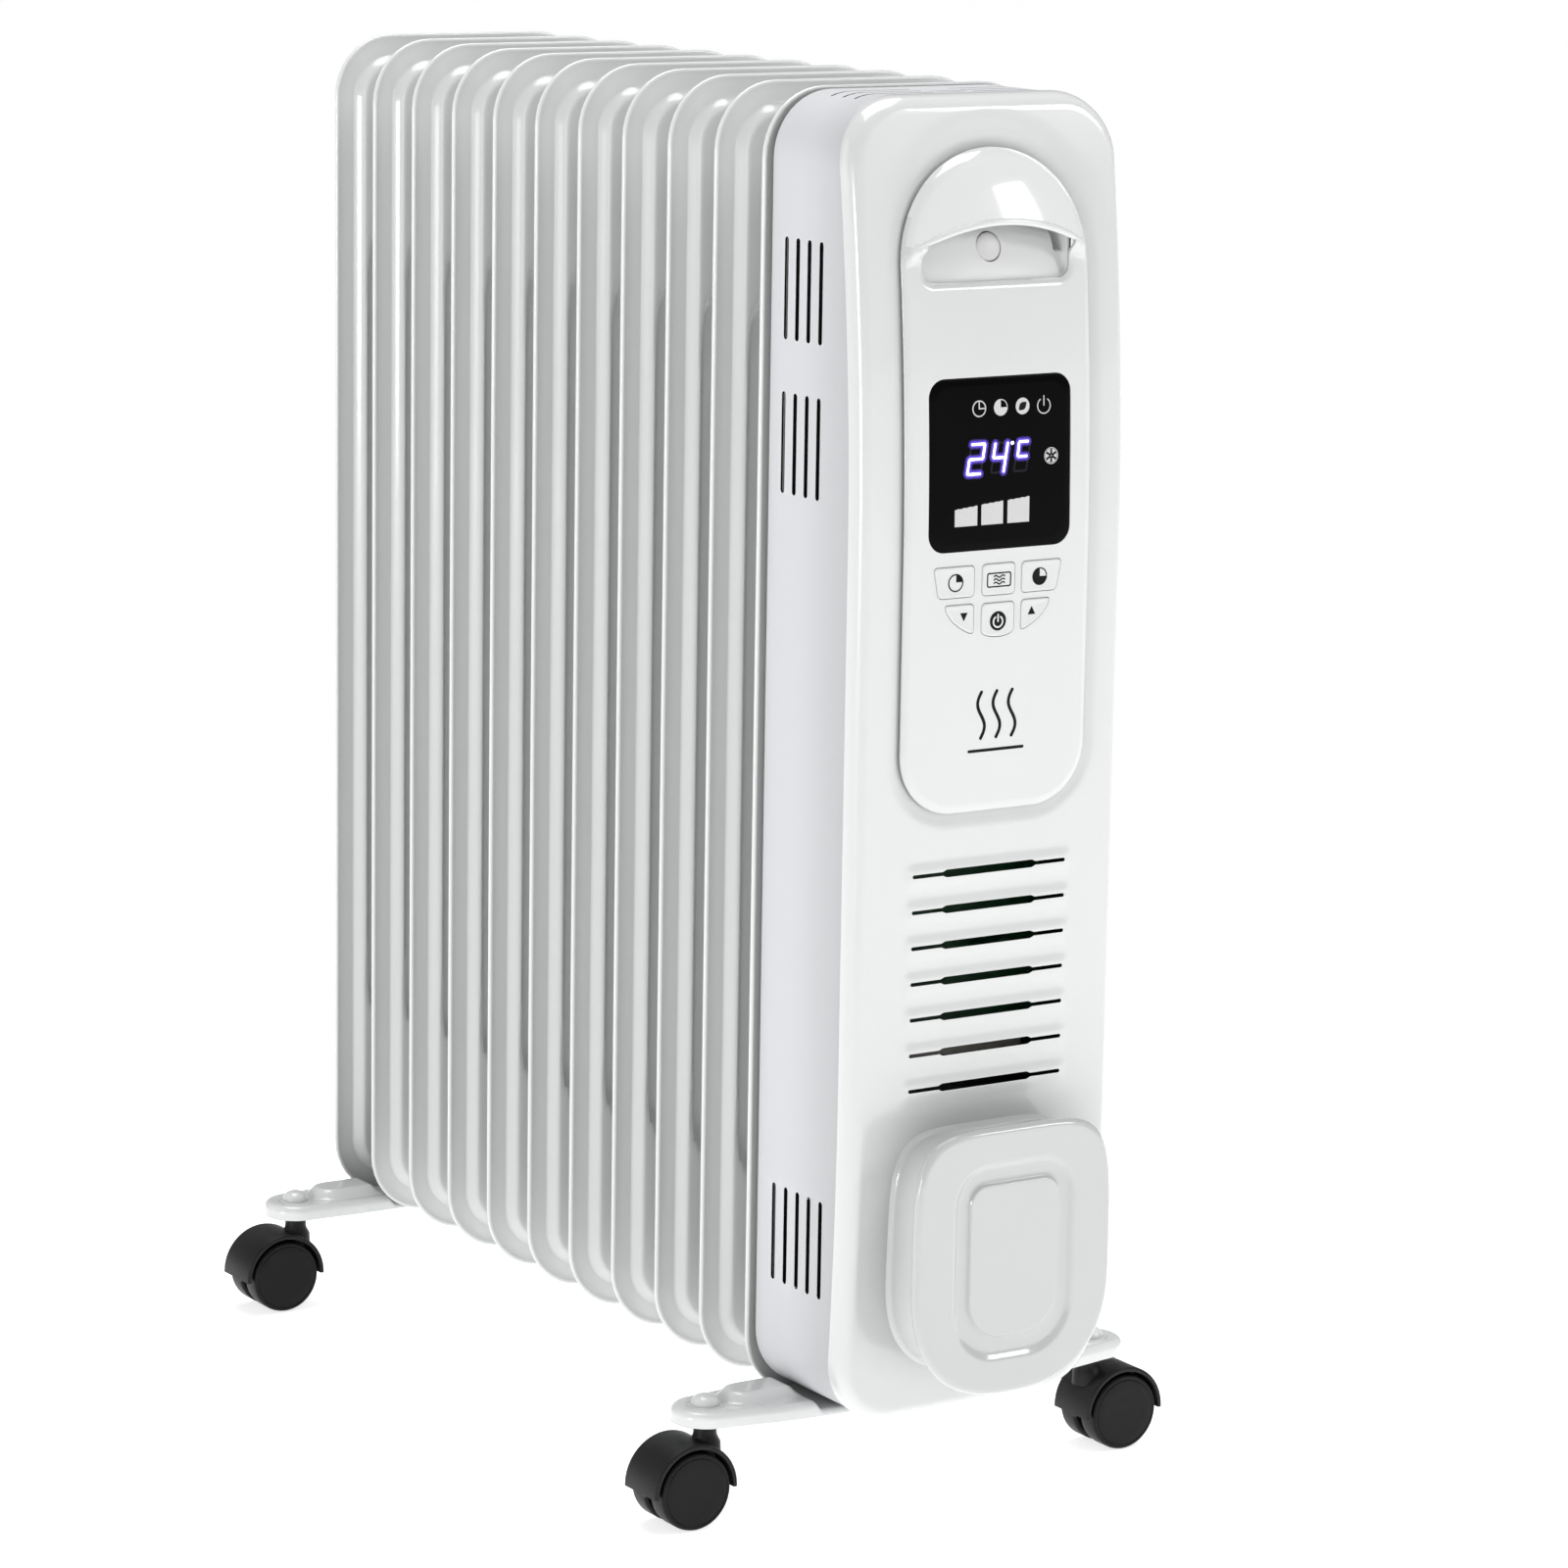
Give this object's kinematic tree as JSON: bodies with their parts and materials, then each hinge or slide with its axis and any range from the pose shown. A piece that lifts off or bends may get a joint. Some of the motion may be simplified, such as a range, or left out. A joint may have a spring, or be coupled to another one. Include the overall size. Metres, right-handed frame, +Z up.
{
  "type": "oil filled radiator heater",
  "caption": "Upright oil filled radiator: a row of pressed steel fins behind a slim control box with carry handle, digital display and cord winder, on two feet with swivel castors.",
  "frame": {"origin": "on the floor, below the middle of the heater's overall box", "axes": "+Z up, +X to the right seen from the front, the control box faces -Y"},
  "size_m": [0.2734, 0.5, 0.6245],
  "materials": {
    "fin_paint": "satin white powder coat",
    "foot_paint": "satin white powder coat",
    "zinc_steel": "zinc plated",
    "shield_steel": "mill finish",
    "element_brass": "turned brass and sheathed steel",
    "matt_white": "fine matt white paint",
    "gloss_white": "high gloss white",
    "key_white": "satin white",
    "receiver_grey": "milky grey infra-red window",
    "display_black": "black mirror-smooth window",
    "circuit_board": "green solder mask",
    "bracket_cream": "plain moulding",
    "silicone_grey": "matt silicone",
    "black_nylon": "satin black",
    "hood_nylon": "satin black with fine grain",
    "wheel_nylon": "satin black"
  },
  "bodies": {
    "heater": {"fin_01": "fin_paint", "fin_02": "fin_paint", "fin_03": "fin_paint", "fin_04": "fin_paint", "fin_05": "fin_paint", "fin_06": "fin_paint", "fin_07": "fin_paint", "fin_08": "fin_paint", "fin_09": "fin_paint", "fin_10": "fin_paint", "fin_11": "fin_paint", "foot_front": "foot_paint", "foot_rear": "foot_paint", "u_bolt_front": "zinc_steel", "u_bolt_rear": "zinc_steel", "wing_nut_front_left": "zinc_steel", "wing_nut_front_right": "zinc_steel", "wing_nut_rear_left": "zinc_steel", "wing_nut_rear_right": "zinc_steel", "winder_screw": "zinc_steel", "upper_hub_cap": "zinc_steel", "oil_filler_plug": "zinc_steel", "thermal_cut_out": "zinc_steel", "heat_shield": "shield_steel", "heating_element": "element_brass", "side_shell": "matt_white", "front_cover": "gloss_white", "control_fascia": "gloss_white", "handle_pocket": "gloss_white", "cord_winder_plate": "gloss_white", "receiver_window": "receiver_grey", "display_window": "display_black", "display_board": "circuit_board", "power_board": "circuit_board", "board_bracket": "bracket_cream", "key_mat": "silicone_grey", "tip_over_switch": "black_nylon", "cable_gland": "black_nylon", "castor_front_left_stem": "zinc_steel", "castor_front_right_stem": "zinc_steel", "castor_rear_left_stem": "zinc_steel", "castor_rear_right_stem": "zinc_steel"},
    "castor_front_left_swivel": {"castor_front_left_housing": "hood_nylon"},
    "castor_front_left_wheel_a": {"castor_front_left_wheel_a": "wheel_nylon"},
    "castor_front_left_wheel_b": {"castor_front_left_wheel_b": "wheel_nylon"},
    "castor_front_right_swivel": {"castor_front_right_housing": "hood_nylon"},
    "castor_front_right_wheel_a": {"castor_front_right_wheel_a": "wheel_nylon"},
    "castor_front_right_wheel_b": {"castor_front_right_wheel_b": "wheel_nylon"},
    "castor_rear_left_swivel": {"castor_rear_left_housing": "hood_nylon"},
    "castor_rear_left_wheel_a": {"castor_rear_left_wheel_a": "wheel_nylon"},
    "castor_rear_left_wheel_b": {"castor_rear_left_wheel_b": "wheel_nylon"},
    "castor_rear_right_swivel": {"castor_rear_right_housing": "hood_nylon"},
    "castor_rear_right_wheel_a": {"castor_rear_right_wheel_a": "wheel_nylon"},
    "castor_rear_right_wheel_b": {"castor_rear_right_wheel_b": "wheel_nylon"},
    "key_timer_on_body": {"key_timer_on": "key_white"},
    "key_heat_mode_body": {"key_heat_mode": "key_white"},
    "key_timer_off_body": {"key_timer_off": "key_white"},
    "key_down_body": {"key_down": "key_white"},
    "key_power_body": {"key_power": "key_white"},
    "key_up_body": {"key_up": "key_white"}
  },
  "joints": [
    {"name": "castor_front_left_swivel", "type": "hinge", "parent": "heater", "child": "castor_front_left_swivel", "pos_m": [-0.1035, -0.16425, 0.04], "axis": [0, 0, 1], "continuous": true},
    {"name": "castor_front_left_wheel_a_spin", "type": "hinge", "parent": "castor_front_left_swivel", "child": "castor_front_left_wheel_a", "pos_m": [-0.1155, -0.16425, 0.0175], "axis": [0, 1, 0], "continuous": true},
    {"name": "castor_front_left_wheel_b_spin", "type": "hinge", "parent": "castor_front_left_swivel", "child": "castor_front_left_wheel_b", "pos_m": [-0.1155, -0.16425, 0.0175], "axis": [0, 1, 0], "continuous": true},
    {"name": "castor_front_right_swivel", "type": "hinge", "parent": "heater", "child": "castor_front_right_swivel", "pos_m": [0.1035, -0.16425, 0.04], "axis": [0, 0, 1], "continuous": true},
    {"name": "castor_front_right_wheel_a_spin", "type": "hinge", "parent": "castor_front_right_swivel", "child": "castor_front_right_wheel_a", "pos_m": [0.1155, -0.16425, 0.0175], "axis": [0, 1, 0], "continuous": true},
    {"name": "castor_front_right_wheel_b_spin", "type": "hinge", "parent": "castor_front_right_swivel", "child": "castor_front_right_wheel_b", "pos_m": [0.1155, -0.16425, 0.0175], "axis": [0, 1, 0], "continuous": true},
    {"name": "castor_rear_left_swivel", "type": "hinge", "parent": "heater", "child": "castor_rear_left_swivel", "pos_m": [-0.1035, 0.22075, 0.04], "axis": [0, 0, 1], "continuous": true},
    {"name": "castor_rear_left_wheel_a_spin", "type": "hinge", "parent": "castor_rear_left_swivel", "child": "castor_rear_left_wheel_a", "pos_m": [-0.1155, 0.22075, 0.0175], "axis": [0, 1, 0], "continuous": true},
    {"name": "castor_rear_left_wheel_b_spin", "type": "hinge", "parent": "castor_rear_left_swivel", "child": "castor_rear_left_wheel_b", "pos_m": [-0.1155, 0.22075, 0.0175], "axis": [0, 1, 0], "continuous": true},
    {"name": "castor_rear_right_swivel", "type": "hinge", "parent": "heater", "child": "castor_rear_right_swivel", "pos_m": [0.1035, 0.22075, 0.04], "axis": [0, 0, 1], "continuous": true},
    {"name": "castor_rear_right_wheel_a_spin", "type": "hinge", "parent": "castor_rear_right_swivel", "child": "castor_rear_right_wheel_a", "pos_m": [0.1155, 0.22075, 0.0175], "axis": [0, 1, 0], "continuous": true},
    {"name": "castor_rear_right_wheel_b_spin", "type": "hinge", "parent": "castor_rear_right_swivel", "child": "castor_rear_right_wheel_b", "pos_m": [0.1155, 0.22075, 0.0175], "axis": [0, 1, 0], "continuous": true},
    {"name": "key_timer_on_press", "type": "slide", "parent": "heater", "child": "key_timer_on_body", "axis": [0, 1, 0], "range_m": [0, 0.001], "stiffness_N_per_m": 1500},
    {"name": "key_heat_mode_press", "type": "slide", "parent": "heater", "child": "key_heat_mode_body", "axis": [0, 1, 0], "range_m": [0, 0.001], "stiffness_N_per_m": 1500},
    {"name": "key_timer_off_press", "type": "slide", "parent": "heater", "child": "key_timer_off_body", "axis": [0, 1, 0], "range_m": [0, 0.001], "stiffness_N_per_m": 1500},
    {"name": "key_down_press", "type": "slide", "parent": "heater", "child": "key_down_body", "axis": [0, 1, 0], "range_m": [0, 0.001], "stiffness_N_per_m": 1500},
    {"name": "key_power_press", "type": "slide", "parent": "heater", "child": "key_power_body", "axis": [0, 1, 0], "range_m": [0, 0.001], "stiffness_N_per_m": 1500},
    {"name": "key_up_press", "type": "slide", "parent": "heater", "child": "key_up_body", "axis": [0, 1, 0], "range_m": [0, 0.001], "stiffness_N_per_m": 1500}
  ]
}
